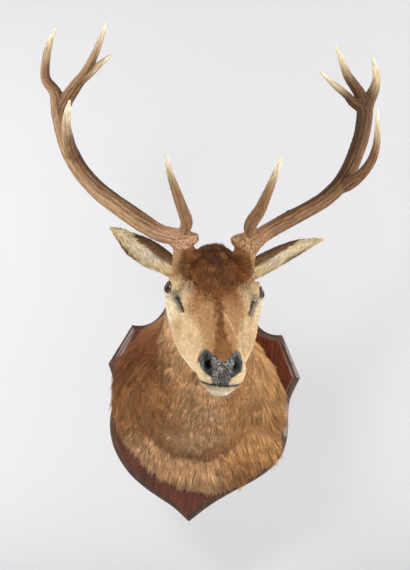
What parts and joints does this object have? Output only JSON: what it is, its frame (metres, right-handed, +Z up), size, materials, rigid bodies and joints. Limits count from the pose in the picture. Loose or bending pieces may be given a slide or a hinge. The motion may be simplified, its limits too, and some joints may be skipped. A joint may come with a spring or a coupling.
{
  "type": "red deer stag head mount",
  "caption": "Red deer stag head and neck with branching antlers, mounted on a dark wooden shield that hangs flat on a wall.",
  "frame": {"origin": "on the flat back of the shield, on its middle line, about level with the middle of its height", "axes": "+Z up, +Y into the wall, so the stag looks out along -Y and a little to +X; +X to the right of someone facing it"},
  "size_m": [0.6509, 0.5643, 0.9378],
  "materials": {
    "coat": "reddish brown winter fur, paler on the face, throat fringe and ears",
    "antler": "grooved brown antler with polished cream tips",
    "eye": "dark brown glossy glass eye",
    "wood": "polished dark mahogany"
  },
  "bodies": {
    "root": {"cape": "coat", "neck": "coat", "skull": "coat", "muzzle": "coat", "lower_jaw": "coat", "left_ear": "coat", "right_ear": "coat", "left_antler_beam_lower": "antler", "left_antler_beam_upper": "antler", "left_antler_brow_tine": "antler", "left_antler_trez_tine": "antler", "left_antler_crown_outer_tine": "antler", "left_antler_crown_inner_tine": "antler", "left_antler_crown_third_tine": "antler", "right_antler_beam_lower": "antler", "right_antler_beam_upper": "antler", "right_antler_brow_tine": "antler", "right_antler_trez_tine": "antler", "right_antler_crown_outer_tine": "antler", "right_antler_crown_inner_tine": "antler", "right_antler_crown_third_tine": "antler", "left_eye": "eye", "right_eye": "eye", "shield_board": "wood"}
  },
  "joints": []
}
